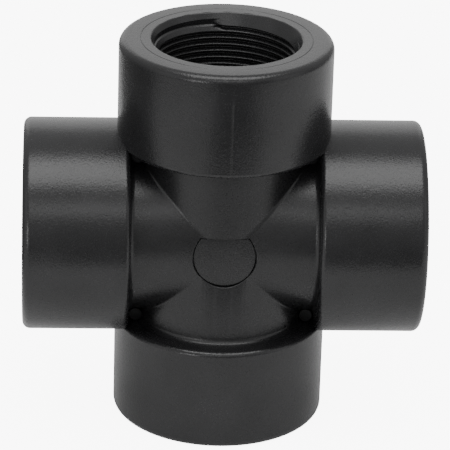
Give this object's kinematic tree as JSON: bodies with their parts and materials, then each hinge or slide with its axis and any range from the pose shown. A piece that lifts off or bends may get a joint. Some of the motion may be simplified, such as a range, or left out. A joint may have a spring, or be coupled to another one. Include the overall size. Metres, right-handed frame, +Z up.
{
  "type": "pipe cross fitting",
  "caption": "Thick-walled black plastic cross fitting that joins threaded pipes at right angles in one plane.",
  "frame": {"origin": "the point where the two port axes cross, in the middle of the fitting", "axes": "+Z up along the upright ports, +X to the right along the side ports, +Y from the front to the back"},
  "size_m": [0.133, 0.071, 0.133],
  "materials": {
    "moulded_body": "satin moulded glass-filled polypropylene with a fine spark-eroded texture",
    "thread": "smooth moulded polypropylene, slightly glossier than the outside",
    "pocket_detail": "as moulded, matte in the corner pockets",
    "blank_pad": "satin, smooth, left blank"
  },
  "bodies": {
    "root": {"crossing_core": "moulded_body", "socket_top": "moulded_body", "socket_right": "moulded_body", "socket_bottom": "moulded_body", "socket_left": "moulded_body", "thread_top": "thread", "thread_right": "thread", "thread_bottom": "thread", "thread_left": "thread", "corner_web_upper_right": "pocket_detail", "corner_web_lower_right": "pocket_detail", "corner_web_lower_left": "pocket_detail", "corner_web_upper_left": "pocket_detail", "ejector_post_upper_right": "pocket_detail", "ejector_post_lower_right": "pocket_detail", "ejector_post_lower_left": "pocket_detail", "ejector_post_upper_left": "pocket_detail", "centre_pad_front": "blank_pad", "centre_pad_back": "blank_pad"}
  },
  "joints": []
}
